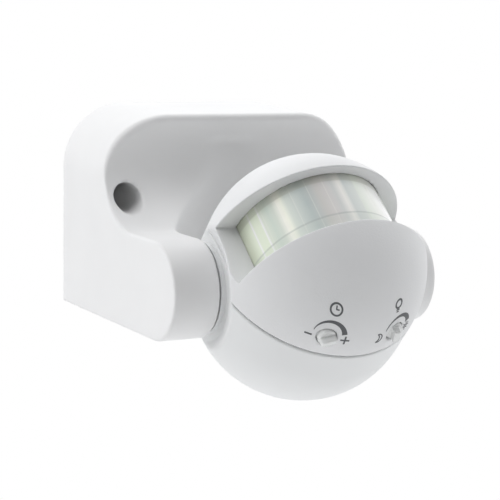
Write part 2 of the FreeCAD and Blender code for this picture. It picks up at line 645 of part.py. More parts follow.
EYE_Z = -7.4
EYE_HALF = (2.0, 1.5)
EYE_X = (-EYE_HALF[0], EYE_HALF[0])
EYE_SPAN = (EYE_Z - EYE_HALF[1], EYE_Z + EYE_HALF[1])
CAN_BACK = 18.4
CAN_FRONT = 22.4
PANE_BACK = CAN_FRONT - 0.3
head_node("pyro_holder", cut("pyro_collar",
                             ahead("pyro_collar_body", 5.4, 0, EYE_Z, SENSOR_FRONT, CAN_BACK),
                             ahead("pyro_collar_bore", 3.0, 0, EYE_Z, 14, CAN_BACK + 1)))
head_node("pyro_sensor", cut("pyro_can",
                             fuse("pyro_sum",
                                  ahead("pyro_flange", 4.6, 0, EYE_Z, CAN_BACK, CAN_BACK + 0.5),
                                  ahead("pyro_cap", 4.1, 0, EYE_Z, CAN_BACK + 0.4, CAN_FRONT)),
                             box("pyro_opening", EYE_X, (-CAN_FRONT - 1, -PANE_BACK), EYE_SPAN)))
head_node("pyro_window", box("pyro_filter", EYE_X, (0.05 - CAN_FRONT, -PANE_BACK), EYE_SPAN))
CELL_X, CELL_Z = 13.0, -4.0
head_node("photocell", fuse("cell_sum", ahead("cell_disc", 2.5, CELL_X, CELL_Z, 18.2, 20.2),
                            *[ahead("cell_leg_%d" % k, 0.3, CELL_X + 1.3 * k, CELL_Z,
                                    SENSOR_FRONT, 18.3) for k in (-1, 1)]))
CHIP_X, CHIP_Z = -12.5, -3.0
chip_legs = []
for side in (-1, 1):
    for k in range(4):
        z = CHIP_Z + 1.27 * (k - 1.5)
        tip = CHIP_X + side * 3.0
        root = CHIP_X + side * 1.9
        chip_legs.append(box("chip_leg_%d_%d" % (side + 1, k), (min(tip, root), max(tip, root)),
                             ("-%s - 0.7" % SENSOR_FRONT, "-%s" % SENSOR_FRONT),
                             (z - 0.2, z + 0.2)))
head_node("control_chip", fuse("chip_sum", box("chip_body", (CHIP_X - 2, CHIP_X + 2),
                                               ("-%s - 1.7" % SENSOR_FRONT,
                                                "-%s" % SENSOR_FRONT),
                                               (CHIP_Z - 2.5, CHIP_Z + 2.5)), *chip_legs))
head_node("sensor_capacitors", fuse("sensor_cans", *[
    ahead("sensor_can_%d" % k, 2.1, 13.0 * k, -12.5, SENSOR_FRONT, "%s + 4.8" % SENSOR_FRONT)
    for k in (-1, 1)]))
head_node("sensor_socket", box("sensor_socket_body", (-14, -8), (-BOARD_REACH, -9.6), (-3, 3)))

# ---------------------------------------------------------------- knobs and their pots

POT_HALF = 3.5
POT_Z = (-27.0, -22.0)
SHAFT = 1.5
SHAFT_TOP = 22.4    # inner ends of the shafts below the tilt axis
DISC_THICK = 3.0
GRIP_HALF = (2.1, 0.9)
GRIP_TALL = 1.8
for label, sign, turn in (("time", -1, 15), ("lux", 1, 105)):
    centre = ("%d * knob_offset" % sign, "-knob_reach")
    x = sign * VALUE["knob_offset"]
    head_node("%s_pot" % label, cut(label + "_pot_cut",
                                    box(label + "_pot_body", (x - POT_HALF, x + POT_HALF),
                                        ("-knob_reach - %g" % POT_HALF, "-%s" % SENSOR_FRONT),
                                        POT_Z),
                                    cylinder(label + "_pot_bore", "%g + fit_gap" % SHAFT,
                                             centre + (-30,), 10)))
    # drawn on its own axis, with the grip along x, then turned to where it is set
    knob = fuse(label + "_knob_sum",
                cylinder(label + "_shaft", SHAFT, (0, 0, "%g - knob_face" % DISC_THICK),
                         "knob_face - %g - %g" % (DISC_THICK, SHAFT_TOP)),
                cylinder(label + "_disc", "knob_radius", (0, 0, "-knob_face"), DISC_THICK),
                box(label + "_grip", (-GRIP_HALF[0], GRIP_HALF[0]),
                    (-GRIP_HALF[1], GRIP_HALF[1]), ("-knob_face - %g" % GRIP_TALL, "-knob_face")))
    knob.Placement = FreeCAD.Placement(Vector(), FreeCAD.Rotation(Vector(0, 0, 1), -turn))
    head_node("%s_knob" % label, place(knob, centre + (0,)))

# ---------------------------------------------------------------- hubs, seals and clips

SNAP_START = 21.9
BARREL_END = 31.2
CLIP_START = 29.5
CLIP_THICK = 0.8
CLIP_RADIUS = 8.2
CLIP_MOUTH = 2.4
WASHER_RADIUS = 9.0
WASHER_END = 29.4
WASHER_START = "half_gap + case_wall + 0.05"
for side, sign in SIDES:
    def along(tag, radius, low, high):
        """A round part on the tilt axis, between two distances from the middle."""
        start = low if sign > 0 else "-(%s)" % high
        return cylinder(side + tag, radius, (start, 0, 0), "(%s) - (%s)" % (high, low), "x")
    hub = fuse(side + "_hub_sum",
               along("_snap", SPIGOT + 0.7, SNAP_START, "side_flat - shell_wall - 0.05"),
               along("_spigot", SPIGOT, SNAP_START, "side_flat"),
               along("_flange", "flange_radius", "side_flat", "side_flat + flange_thick"),
               along("_barrel", "hub_radius", "side_flat", BARREL_END))
    groove = cut(side + "_groove", along("_groove_out", "hub_radius + 1", CLIP_START - 0.03,
                                         CLIP_START + CLIP_THICK + 0.03),
                 along("_groove_in", SPIGOT, CLIP_START - 1, CLIP_START + 2))
    head_node("pivot_hub_" + side, cut(side + "_hub", hub, groove,
                                       along("_bore", "hub_bore", SNAP_START - 2,
                                             BARREL_END + 2)))
    clip = cut(side + "_clip",
               along("_clip_out", CLIP_RADIUS, CLIP_START, CLIP_START + CLIP_THICK),
               along("_clip_in", SPIGOT, CLIP_START - 1, CLIP_START + 2),
               box(side + "_clip_mouth", (-40, 40), (-CLIP_MOUTH, CLIP_MOUTH), (0, 20)))
    head_node("pivot_clip_" + side, clip)
    washer = cut(side + "_washer",
                 along("_washer_out", WASHER_RADIUS, WASHER_START, WASHER_END),
                 along("_washer_in", "hub_radius + 0.15", "half_gap", WASHER_END + 1))
    place(washer, (0, "-axis_reach", AXIS_Z))
    node("friction_washer_" + side, washer)
    ring_x = "%d * (half_gap + side_flat + flange_thick) / 2" % sign
    ring = primitive("Torus", side + "_ring", (ring_x, "-axis_reach", AXIS_Z), "x",
                     Radius1="ring_radius",
                     Radius2="(half_gap - side_flat - flange_thick) / 2 - fit_gap")
    node("pivot_seal_" + side, ring)

# ---------------------------------------------------------------- leads between the boards


def lead(label, points):
    """A round lead along straight runs joined by tangent arcs."""
    points = [Vector(*p) for p in points]
    edges = []
    start = points[0]
    for before, corner, after in zip(points, points[1:], points[2:]):
        back, on = before - corner, after - corner
        turn = math.pi - back.getAngle(on)
        shorter = min(back.Length, on.Length)
        trim = 0.45 * shorter
        print("%s bend radius %.1f" % (label, trim / math.tan(turn / 2)))
        back.normalize()
        on.normalize()
        first, last = corner + back * trim, corner + on * trim
        radius = trim / math.tan(turn / 2)
        middle_way = (back + on).normalize()
        to_centre = radius / math.cos(turn / 2)
        middle = corner + middle_way * (to_centre - radius)
        edges.append(Part.LineSegment(start, first).toShape())
        edges.append(Part.Arc(first, middle, last).toShape())
        start = last
    edges.append(Part.LineSegment(start, points[-1]).toShape())
    path = Part.Wire(edges)
    radius = VALUE["lead_radius"]
    ring = Part.Wire(Part.Circle(points[0], points[1] - points[0], radius).toShape())
    piece = doc.addObject("Part::Feature", label + "_tube")
    piece.Shape = path.makePipeShell([ring], True, True)
    length = path.Length * math.pi * radius ** 2
    print("%s length %.1f, volume %.1f of %.1f" % (label, path.Length, piece.Shape.Volume, length))
    return piece


AXIS_POINT = (-VALUE["axis_reach"], VALUE["lobe_radius"] - VALUE["screw_height"])
SPLIT = -22.0
MEET = 0.1
arm_x = -(VALUE["half_gap"] + VALUE["bracket_width"] / 2) / 2
node("arm_lead", lead("arm_lead", [
    (LEAD_X, BOARD_Y - 8.6, LEAD_Z), (LEAD_X, BOARD_Y - 14, LEAD_Z), (LEAD_X - 1, -25, -4),
    (LEAD_X - 4, -29, -17), (arm_x, -42, AXIS_POINT[1]), (arm_x, AXIS_POINT[0], AXIS_POINT[1]),
    (SPLIT - MEET, AXIS_POINT[0], AXIS_POINT[1])]))
head_node("head_lead", lead("head_lead", [(SPLIT + MEET, 0, 0), (-11, 0, 0), (-11, -9.6, 0)]))

# ---------------------------------------------------------------- checks and files

doc.recompute()
failed = [piece.Name for piece in doc.Objects
          if "Invalid" in piece.State or "Error" in piece.State]
if failed:
    raise SystemExit("these objects failed: %s" % ", ".join(failed))
for label, piece in NODES.items():
    shape = piece.Shape
    if shape.isNull() or not shape.isValid():
        raise SystemExit("%s has no valid shape" % label)
    print("%-24s %2d solids %9.1f mm3" % (label, len(shape.Solids), shape.Volume))
os.makedirs("parts", exist_ok=True)
for label, piece in NODES.items():
    piece.Shape.exportStep("parts/%s.step" % label)
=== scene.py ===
import json
import math

import bpy
import numpy as np
from mathutils import Matrix, Vector


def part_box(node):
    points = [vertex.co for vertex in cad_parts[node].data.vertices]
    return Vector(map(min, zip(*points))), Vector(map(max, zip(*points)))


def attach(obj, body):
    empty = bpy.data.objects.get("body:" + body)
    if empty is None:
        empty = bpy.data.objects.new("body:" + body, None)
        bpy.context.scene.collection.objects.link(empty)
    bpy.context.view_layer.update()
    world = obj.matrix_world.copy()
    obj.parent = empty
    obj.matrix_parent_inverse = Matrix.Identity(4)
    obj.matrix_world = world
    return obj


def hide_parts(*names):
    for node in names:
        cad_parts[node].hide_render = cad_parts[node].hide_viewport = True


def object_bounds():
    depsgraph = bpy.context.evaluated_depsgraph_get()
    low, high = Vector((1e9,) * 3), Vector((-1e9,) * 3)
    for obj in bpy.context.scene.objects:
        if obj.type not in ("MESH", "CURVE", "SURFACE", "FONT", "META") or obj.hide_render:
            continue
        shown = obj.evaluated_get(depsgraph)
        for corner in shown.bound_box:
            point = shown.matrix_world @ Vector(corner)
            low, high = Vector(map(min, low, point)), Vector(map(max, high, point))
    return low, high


# A wall-mounted infrared motion sensor: a white bracket with two arms, and a ball-shaped head
# with a milky lens and two knobs. The mouldings are written as distance fields in millimetres
# and turned into meshes here, so that their edges are soft, as they come out of a mould.

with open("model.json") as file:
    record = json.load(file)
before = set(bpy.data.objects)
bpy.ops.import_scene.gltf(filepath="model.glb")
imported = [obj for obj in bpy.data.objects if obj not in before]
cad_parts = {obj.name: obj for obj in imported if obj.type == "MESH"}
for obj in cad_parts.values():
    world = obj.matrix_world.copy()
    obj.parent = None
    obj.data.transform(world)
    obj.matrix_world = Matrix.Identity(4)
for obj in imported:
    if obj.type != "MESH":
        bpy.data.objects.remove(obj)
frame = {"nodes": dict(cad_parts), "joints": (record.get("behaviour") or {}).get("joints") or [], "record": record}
cad_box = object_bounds()

MM = 0.001


def cad(node):
    """The lowest and highest corner of a CAD node, in millimetres."""
    low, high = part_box(node)
    return np.array(low) / MM, np.array(high) / MM


# ---------------------------------------------------------------- sizes, in millimetres

housing_low, housing_high = cad("bracket_housing")
joint = {j["name"]: j for j in frame["joints"]}
axis = np.array(joint["head_tilt"]["pos_m"]) / MM
up = np.array(joint["time_turn"]["axis"])
ahead = np.array([0.0, -up[2], up[1]])

# sizes of the bracket, in the row's frame
HALF_WIDTH = housing_high[0]
BOTTOM = housing_low[2]
TOP = housing_high[2]
LOBE = axis[2] - BOTTOM
CORNER = 18.6
SLOPE = math.radians(2.9)
SWEEP = 18.6
SWEEP_BEHIND = 15.3
SWEEP_Y = axis[1] + SWEEP_BEHIND
SWEEP_Z = BOTTOM + 2 * LOBE + SWEEP
HALF_GAP = 26.9
POCKET_Y = -57.0
POCKET_TOP = BOTTOM + 51.0
POCKET_ROUND = 3.0
CASE_WALL = 2.0
SCREW_X = 34.0
WELL = 4.2
WELL_END = -5.5
SCREW_HOLE = 2.25
POST = 6.0
PLATE_BACK = -3.5
HUB_HOLE = 6.05
POST_REACH = 45.0
WELL_REACH = 80.0
PLATE_FIXINGS = [(29.0, 15.0, 34.0), (35.0, -29.2, 16.0)]   # x, z and length of each post
FIXING_POST = 3.2

# sizes of the head, in its own frame: x along the tilt axis, y backwards, z up through the head
BALL = 30.0
BALL_Z = -6.6
REAR_CENTRE = 5.0
SEAM = 14.0
SEAL = 0.5
SHELL = 1.8
SIDE_FLAT = 25.0
DISH = 14.4
DISH_FLARE = 2.15
VISOR = 3.2
CHIN = -15.5
CHEEK = 20.2
LENS = 21.5
LENS_CENTRE = 17.9
LENS_WALL = 0.8
HEAD_SCREWS = [(15.0, 9.0), (0.0, -29.0)]   # x and z, on both sides
SCREW_TUBE = 3.6
SCREW_WELL = 2.8
SCREW_SEAT = -2.0
SCREW_PASS = 1.4
BOSS = 3.0
BOSS_CORE = 1.22
CORE_END = -22.0
BOARD_SCREW = (16.0, -21.0)
BOARD_BOSS = 2.1
BOARD_CORE = 0.9
BOARD_FRONT = -15.0
HUB_SPIGOT = 5.42
LEDGE = (1.7, 2.9)          # depths of the ledge's two faces under the ball's skin
LEDGE_BACK = 2.5            # it stands out of the front shell by this, behind the seam
LEDGE_FRONT = 1.5
KNOB_X = 10.0
KNOB_REACH = 19.7
KNOB_RADIUS = 2.4
KNOB_FACE = 34.4
KNOB_THICK = 3.0
KNOB_GAP = 0.2
KNOB_PORT = -28.0
GRIP = (2.1, 0.9, 1.4)      # half length, half width and half height of a knob's raised bar
GRIP_DROP = 0.4             # middle of the bar below the face that it stands on
SHAFT_LONG = 10.0
SHAFT = 1.5
SHAFT_TOP = -22.4

# ---------------------------------------------------------------- fields
# A field is negative inside its solid and close to the distance from its surface.


def both(a, b, soft=0.0):
    """What lies in both, with the edge between them rounded to a radius of soft."""
    if np.isscalar(soft) and soft == 0.0:
        return np.maximum(a, b)
    return np.minimum(np.maximum(a, b), -soft) + np.hypot(np.maximum(a + soft, 0),
                                                         np.maximum(b + soft, 0))


def either(a, b, soft=0.0):
    return -both(-a, -b, soft)


def without(a, b, soft=0.0):
    return both(a, -b, soft)


def tube(a, b, radius, low, high, along):
    return both(np.hypot(a, b) - radius, np.maximum(low - along, along - high))


def step(low, high, value):
    t = np.clip((value - low) / (high - low), 0, 1)
    return t * t * (3 - 2 * t)


def outline(x, y, z, inset):
    """The bracket seen from the front: round upper corners, and a top that falls forwards."""
    height = -y * math.sin(SLOPE) + (z - TOP) * math.cos(SLOPE) + CORNER
    side = abs(x) - (HALF_WIDTH - CORNER)
    return np.hypot(np.maximum(side, 0), np.maximum(height, 0)) \
        + np.minimum(np.maximum(side, height), 0) - CORNER + inset


def profile(y, z, inset):
    """The bracket seen from the side: arms with round ends, and a round sweep above them."""
    arm = np.hypot(np.maximum(axis[1] - y, 0), z - axis[2]) - LOBE
    block = np.maximum(BOTTOM - z, SWEEP_Y - y)
    sweep = SWEEP - np.hypot(y - SWEEP_Y, z - SWEEP_Z)
    return np.maximum(np.minimum(arm, block), sweep) + inset


def pocket(x, y, z, grow):
    """The space between the arms that the ball swings in."""
    plan = np.hypot(x, np.maximum(y - POCKET_Y, 0)) - HALF_GAP
    return both(plan, z - POCKET_TOP, POCKET_ROUND) - grow


EDGE_SOFT = 0.7         # rounding along the arms and the lower edges
LIP_SOFT = 2.6          # rounding at the top, which the edges reach between two heights
LIP_HEIGHTS = (4.0, 19.0)
POCKET_SOFT = 0.8
WELL_SOFT = 0.35
RIM_SOFT = 0.3


def bracket_skin(x, y, z):
    soft = EDGE_SOFT + (LIP_SOFT - EDGE_SOFT) * step(*LIP_HEIGHTS, z)
    skin = both(outline(x, y, z, 0), profile(y, z, 0), soft)
    skin = both(skin, y, RIM_SOFT)
    skin = without(skin, pocket(x, y, z, 0), POCKET_SOFT)
    well = tube(abs(x) - SCREW_X, z, WELL, -WELL_REACH, WELL_END, y)
    return without(skin, well, WELL_SOFT)


def bracket_casing(x, y, z):
    room = both(both(outline(x, y, z, CASE_WALL), profile(y, z, CASE_WALL)),
                -pocket(x, y, z, CASE_WALL))
    posts = tube(abs(x) - SCREW_X, z, POST, -POST_REACH, PLATE_BACK, y)
    for post_x, post_z, depth in PLATE_FIXINGS:
        post = tube(abs(x) - post_x, z - post_z, FIXING_POST, -depth, PLATE_BACK, y)
        posts = np.minimum(posts, post)
    walls = without(bracket_skin(x, y, z), without(room, posts))
    walls = without(walls, np.hypot(abs(x) - SCREW_X, z) - SCREW_HOLE)
    hub = both(np.hypot(y - axis[1], z - axis[2]) - HUB_HOLE, abs(x) - HALF_GAP - CASE_WALL - 1)
    return without(walls, hub)


def ball(x, y, z, inset):
    """The head's ball: two half spheres with a short belt between them. y is backwards."""
    centre = np.clip(y, -SEAM, -REAR_CENTRE)
    return np.sqrt(x * x + (z - BALL_Z) ** 2 + (y - centre) ** 2) - BALL + inset


DISH_GROW = 0.4     # how much wider the dishes are inside, for each millimetre of wall


def dishes(x, y, z, inset):
    """The two flat sides with their flared rims, which the hubs sit on."""
    out = abs(x) - SIDE_FLAT + inset
    rim = np.hypot(y, z) - DISH - DISH_GROW * inset - DISH_FLARE * out
    rim /= math.hypot(1, DISH_FLARE)
    return both(-out, rim)


SKIN_SOFT = 0.5
SEAM_SOFT = 0.4
WINDOW_SOFT = 0.25
HOLE_SOFT = 0.3
LENS_GAP = 0.12
LENS_SLOT = 3.0


def ball_skin(x, y, z, inset=0.0, soft=0.0):
    return without(ball(x, y, z, inset), dishes(x, y, z, inset), soft)


def screw_tubes(x, z, radius):
    return np.minimum.reduce([np.hypot(abs(x) - sx, z - sz) - radius for sx, sz in HEAD_SCREWS])


def rear_shell(x, y, z):
    skin = both(ball_skin(x, y, z, soft=SKIN_SOFT), -SEAM + SEAL - y, SEAM_SOFT)
    shell = without(skin, ball_skin(x, y, z, SHELL))
    shell = either(shell, both(skin, screw_tubes(x, z, SCREW_TUBE)))
    shell = without(shell, both(screw_tubes(x, z, SCREW_WELL), SCREW_SEAT - y), HOLE_SOFT)
    shell = without(shell, screw_tubes(x, z, SCREW_PASS))
    return without(shell, np.hypot(y, z) - HUB_SPIGOT)


def window(y, z, wall):
    """The space in front of the cheeks, between visor and chin, grown by a wall."""
    return both(both(y + CHEEK - wall, z - VISOR - wall), CHIN - wall - z)


def front_shell(x, y, z):
    skin = both(ball_skin(x, y, z, soft=SKIN_SOFT), y + SEAM, SEAM_SOFT)
    skin = without(skin, window(y, z, 0), WINDOW_SOFT)
    shell = without(skin, without(ball_skin(x, y, z, SHELL), window(y, z, SHELL)))
    shell = either(shell, both(both(skin, screw_tubes(x, z, BOSS)), y + SEAM + 0.05))
    post = np.hypot(abs(x) - BOARD_SCREW[0], z - BOARD_SCREW[1])
    shell = either(shell, both(both(skin, post - BOARD_BOSS), y - BOARD_FRONT))
    shell = without(shell, both(post - BOARD_CORE, CORE_END - y))
    ledge = both(ball_skin(x, y, z, LEDGE[0]), -ball_skin(x, y, z, LEDGE[1]))
    band = np.maximum(y + SEAM - LEDGE_BACK, -SEAM - LEDGE_FRONT - y)
    shell = either(shell, both(ledge, band))
    lens = both(np.hypot(x, y + LENS_CENTRE) - LENS - LENS_GAP, y + LENS_CENTRE - LENS_SLOT)
    shell = without(shell, both(lens, abs(z - (VISOR + CHIN) / 2) - (VISOR - CHIN) / 2 - SHELL))
    port = np.hypot(abs(x) - KNOB_X, y + KNOB_REACH) - KNOB_RADIUS - KNOB_GAP
    shell = without(shell, both(port, z - KNOB_PORT), HOLE_SOFT)
    return without(shell, both(screw_tubes(x, z, BOSS_CORE), CORE_END - y))


DISC_SOFT = 0.3
GRIP_SOFT = 0.4
SHAFT_SOFT = 0.2


def knob(x, y, z):
    """A knob on its own axis, with its grip along x: a disc, the grip below it, a shaft above."""
    half = KNOB_THICK / 2
    disc = both(np.hypot(x, y) - KNOB_RADIUS, abs(z + KNOB_FACE - half) - half, DISC_SOFT)
    grip = both(both(abs(x) - GRIP[0], abs(y) - GRIP[1], GRIP_SOFT),
                abs(z + KNOB_FACE + GRIP_DROP) - GRIP[2], GRIP_SOFT)
    ends = np.maximum(SHAFT_TOP - SHAFT_LONG - z, z - SHAFT_TOP)
    shaft = both(np.hypot(x, y) - SHAFT, ends, SHAFT_SOFT)
    return either(either(disc, grip, SHAFT_SOFT), shaft, SHAFT_SOFT)


# ---------------------------------------------------------------- meshes from fields

SMALL = 0.01        # step for a field's slope


def slope_of(field, points):
    """The field's gradient at points, one row each."""
    rows = []
    for k in range(3):
        shift = np.zeros(3)
        shift[k] = SMALL
        rows.append((field(*(points + shift).T) - field(*(points - shift).T)) / (2 * SMALL))
    return np.stack(rows, axis=1)


def normals_of(field, points):
    normals = slope_of(field, points)
    return normals / (np.linalg.norm(normals, axis=1)[:, None] + 1e-12)


def crossings(field, value, lines, cell, k):
    """Where the grid's edges along axis k cross the surface, and the four cells round each."""
    counts = value.shape
    near, far = [slice(None)] * 3, [slice(None)] * 3
    near[k], far[k] = slice(None, -1), slice(1, None)
    inside = value < 0
    found = np.argwhere(inside[tuple(near)] != inside[tuple(far)])
    others = [m for m in range(3) if m != k]
    whole = np.all([(found[:, m] > 0) & (found[:, m] < counts[m] - 1) for m in others], axis=0)
    found = found[whole]
    ends = found.copy()
    ends[:, k] += 1
    start, end = value[tuple(found.T)], value[tuple(ends.T)]
    points = np.stack([lines[m][found[:, m]] for m in range(3)], axis=1)
    points[:, k] += cell * start / (start - end)
    cells = []
    for first, second in ((0, 0), (-1, 0), (-1, -1), (0, -1)):
        owner = found.copy()
        owner[:, others[0]] += first
        owner[:, others[1]] += second
        cells.append(np.ravel_multi_index(tuple(owner.T), [n - 1 for n in counts]))
    cells = np.stack(cells, axis=1)
    flip = (start < 0) == (k == 1)
    cells[flip] = cells[flip][:, ::-1]
    return points, cells


STIFF = 0.03        # holds a point of the surface near the middle of its crossings
ROAM = 0.6          # how far a point may leave the middle of its cell, in cells
SETTLES = 2         # steps that move the points onto the surface
STRIDE = 0.4        # the longest of these steps, in cells
FLAT_SLOPE = 0.25   # the least squared slope that a step divides by


def surface(field, low, high, cell):
    """Points and quads of the field's surface inside a box, with its corners kept."""
    counts = [int(math.ceil((b - a) / cell)) + 1 for a, b in zip(low, high)]
    lines = [a + cell * np.arange(n) for a, n in zip(low, counts)]
    value = field(lines[0][:, None, None], lines[1][None, :, None], lines[2][None, None, :])
    value = np.ascontiguousarray(np.broadcast_to(value, counts))
    found = [crossings(field, value, lines, cell, k) for k in range(3)]
    points = np.concatenate([f[0] for f in found])
    quads = np.concatenate([f[1] for f in found])
    normals = normals_of(field, points)
    cells, quads = np.unique(quads, return_inverse=True)
    quads = quads.reshape(-1, 4)
    where = np.unravel_index(cells, [n - 1 for n in counts])
    centres = np.stack([lines[m][where[m]] + cell / 2 for m in range(3)], axis=1)

    def gather(values):
        """The sum of a value at each cell's crossings."""
        return sum(np.bincount(quads[:, c], values, len(cells)) for c in range(4))

    share = gather(np.ones(len(points)))
    mean = np.stack([gather(points[:, m]) for m in range(3)], axis=1) / share[:, None]
    matrix = np.zeros((len(cells), 3, 3))
    for m in range(3):
        for n in range(3):
            matrix[:, m, n] = gather(normals[:, m] * normals[:, n])
    reach = np.sum(normals * points, axis=1)
    pull = np.stack([gather(normals[:, m] * reach) for m in range(3)], axis=1)
    pull -= np.einsum("imn,in->im", matrix, mean)
    matrix += np.eye(3) * (STIFF * share)[:, None, None]
    verts = mean + np.linalg.solve(matrix, pull[:, :, None])[:, :, 0]
    verts = centres + np.clip(verts - centres, -ROAM * cell, ROAM * cell)
    for _ in range(SETTLES):
        value = field(*verts.T)
        slope = slope_of(field, verts)
        move = value / np.maximum(np.sum(slope * slope, axis=1), FLAT_SLOPE)
        verts -= slope * np.clip(move, -STRIDE * cell, STRIDE * cell)[:, None]
    return verts, quads


def in_bracket(points):
    """Points in millimetres as metres in the row's frame."""
    return points * MM


def in_head(points):
    """Points of the head's frame, in millimetres, as metres in the row's frame."""
    return (points @ np.array([[1, 0, 0], -ahead, up]) + axis) * MM


def mesh_piece(name, verts, faces, normals=None):
    mesh = bpy.data.meshes.new(name)
    mesh.from_pydata(verts.tolist(), [], faces.tolist() if hasattr(faces, "tolist") else faces)
    mesh.shade_smooth()
    if normals is not None:
        mesh.normals_split_custom_set_from_vertices(normals.tolist())
    piece = bpy.data.objects.new(name, mesh)
    bpy.context.scene.collection.objects.link(piece)
    return piece


def moulding(name, field, low, high, cell, seated):
    """A piece whose surface is where the field is 0, with the field's own normals.

    seated turns points of the field into points in the row's frame.
    """
    verts, quads = surface(field, low, high, cell)
    normals = (seated(normals_of(field, verts)) - seated(np.zeros(3))) / MM
    return mesh_piece(name, seated(verts), quads, normals)


# ---------------------------------------------------------------- the lens and the marks

FACET = 12.0            # degrees from each facet to the next
FACET_SWELL = 0.35      # how far the facets swell inwards
GROOVE = 0.06           # depth of the lines between the facets
GROOVE_HALF = 0.5       # half their width, in degrees
ROW_LINE = -10.1        # height of the line between the two rows of facets
RIM_LINE = 0.8          # height above which the lens is plain
LENS_LOW = CHIN - SHELL + 0.1
LENS_HIGH = VISOR + SHELL - 0.1
LENS_BANDS = [(LENS_LOW, ROW_LINE, 15), (ROW_LINE, RIM_LINE, 23), (RIM_LINE, LENS_HIGH, 8)]
TAB = 24.0              # half the width over the flanges at the sides
TAB_FACES = (-0.4, 0.7) # front and back of the flanges, behind the lens centre
CREASE = math.radians(40)


def lens_side(turn, radius, tab):
    """One face of the lens, as points (x, y) from flange to flange."""
    side = np.stack([radius * np.sin(turn), -LENS_CENTRE - radius * np.cos(turn)], axis=1)
    reach = tab - LENS_CENTRE
    return np.vstack([(-TAB, reach), side, (TAB, reach)])


def stack_faces(rows, around):
    """Quads between loops of points that are stacked in rows, and across the two end loops."""
    faces = []
    for row in range(rows - 1):
        for n in range(around):
            a, b = row * around + n, row * around + (n + 1) % around
            faces.append((a, b, b + around, a + around))
    top = (rows - 1) * around
    for n in range(around // 2 - 1):
        far = around - 1 - n
        faces.append((n + 1, n, far, far - 1))
        faces.append((top + n, top + n + 1, top + far - 1, top + far))
    return faces


def lens_sheet(name):
    """The lens: a half-round sheet with grooves between its facets, which swell inwards."""
    turn = np.radians(np.arange(-90, 91))
    across = np.degrees(turn) / FACET
    edge = abs(across - np.round(across)) * FACET < GROOVE_HALF
    swell = FACET_SWELL * (1 - (2 * (across - np.floor(across)) - 1) ** 2)
    rows = [low + (high - low) * n / steps for low, high, steps in LENS_BANDS
            for n in range(steps)] + [LENS_HIGH]
    part = [0, *(np.degrees(turn) / 180 + 0.5), 1]
    verts, places = [], []
    for z in rows:
        faceted = z <= RIM_LINE
        ruled = z in (ROW_LINE, RIM_LINE)
        outer = LENS - GROOVE * np.where(edge & faceted | ruled, 1.0, 0.0)
        inner = LENS - LENS_WALL - (swell if faceted and not ruled else 0)
        outside, inside = (lens_side(turn, radius, tab)
                           for radius, tab in zip((outer, inner), TAB_FACES))
        verts += [(x, y, z) for x, y in (*outside, *inside[::-1])]
        height = (z - LENS_LOW) / (LENS_HIGH - LENS_LOW)
        places += [(u, height) for u in (*part, *part[::-1])]
    faces = stack_faces(len(rows), 2 * len(part))
    piece = mesh_piece(name, in_head(np.array(verts)), faces)
    piece.data.set_sharp_from_angle(angle=CREASE)
    layer = piece.data.uv_layers.new(name="sheet")
    for loop in piece.data.loops:
        layer.data[loop.index].uv = places[loop.vertex_index]
    return piece


def on_ball(points, height):
    """Points (x, reach) on the underside of the ball, standing off it by height."""
    x, reach = points[:, 0], points[:, 1]
    out = np.stack([x, SEAM - reach, -np.sqrt(BALL ** 2 - x ** 2 - (reach - SEAM) ** 2)], axis=1)
    return out * (1 + height / BALL) + (0, -SEAM, BALL_Z)


INK = 0.05          # thickness of the print above the skin, and as much again below it
LINE = 0.45
THIN = 0.32


def stroke(path, widths, closed=False):
    """A printed line along a path on the ball, as the points and faces of a thin solid."""
    path = np.array(path, float)
    ends = (np.roll(path, -1, axis=0), np.roll(path, 1, axis=0)) if closed else (
        np.vstack([path[1:], path[-1:]]), np.vstack([path[:1], path[:-1]]))
    along = ends[0] - ends[1]
    along /= np.linalg.norm(along, axis=1)[:, None]
    half = np.stack([-along[:, 1], along[:, 0]], axis=1) * np.reshape(widths, (-1, 1)) / 2
    sides = [on_ball(path + half, INK), on_ball(path - half, INK),
             on_ball(path - half, -INK), on_ball(path + half, -INK)]
    verts = np.stack(sides, axis=1).reshape(-1, 3)
    count = len(path)
    faces = []
    for n in range(count if closed else count - 1):
        a, b = 4 * n, 4 * ((n + 1) % count)
        faces += [(a + k, a + (k + 1) % 4, b + (k + 1) % 4, b + k) for k in range(4)]
    if not closed:
        last = 4 * (count - 1)
        faces += [(3, 2, 1, 0), (last, last + 1, last + 2, last + 3)]
    return verts, faces


def arc(centre, radius, first, last, count=40):
    turn = np.radians(np.linspace(first, last, count))
    return np.stack([centre[0] + radius * np.cos(turn), centre[1] + radius * np.sin(turn)], axis=1)


def printed(name, strokes):
    """A piece of print, made of strokes."""
    verts, faces, start = [], [], 0
    for points, quads in strokes:
        verts.append(points)
        faces += [tuple(start + n for n in quad) for quad in quads]
        start += len(points)
    piece = mesh_piece(name, in_head(np.vstack(verts)), faces)
    piece.data.set_sharp_from_angle(angle=CREASE)
    return piece


def ring(centre, radius, width=THIN):
    path = arc(centre, radius, 0, 350, 36)
    return stroke(path, np.full(len(path), width), closed=True)


def curve(centre, radius, first, last):
    path = arc(centre, radius, first, last)
    return stroke(path, np.full(len(path), THIN))


def bar(centre, length, turn=0.0, width=LINE):
    """A straight line through centre, turned from the x axis by turn degrees."""
    way = math.radians(turn)
    path = np.linspace(-length / 2, length / 2, 7)[:, None] * (math.cos(way), math.sin(way))
    return stroke(path + centre, np.full(len(path), width))


SCALE_SHIFT = (0.5, 0.8)        # middle of the scale from the middle of its knob
SCALE_RADII = (4.2, 3.65)       # at its pointed end and at its thick end
SCALE_WIDTHS = (0.12, 1.42)
SCALE_TURN = (170, 14)


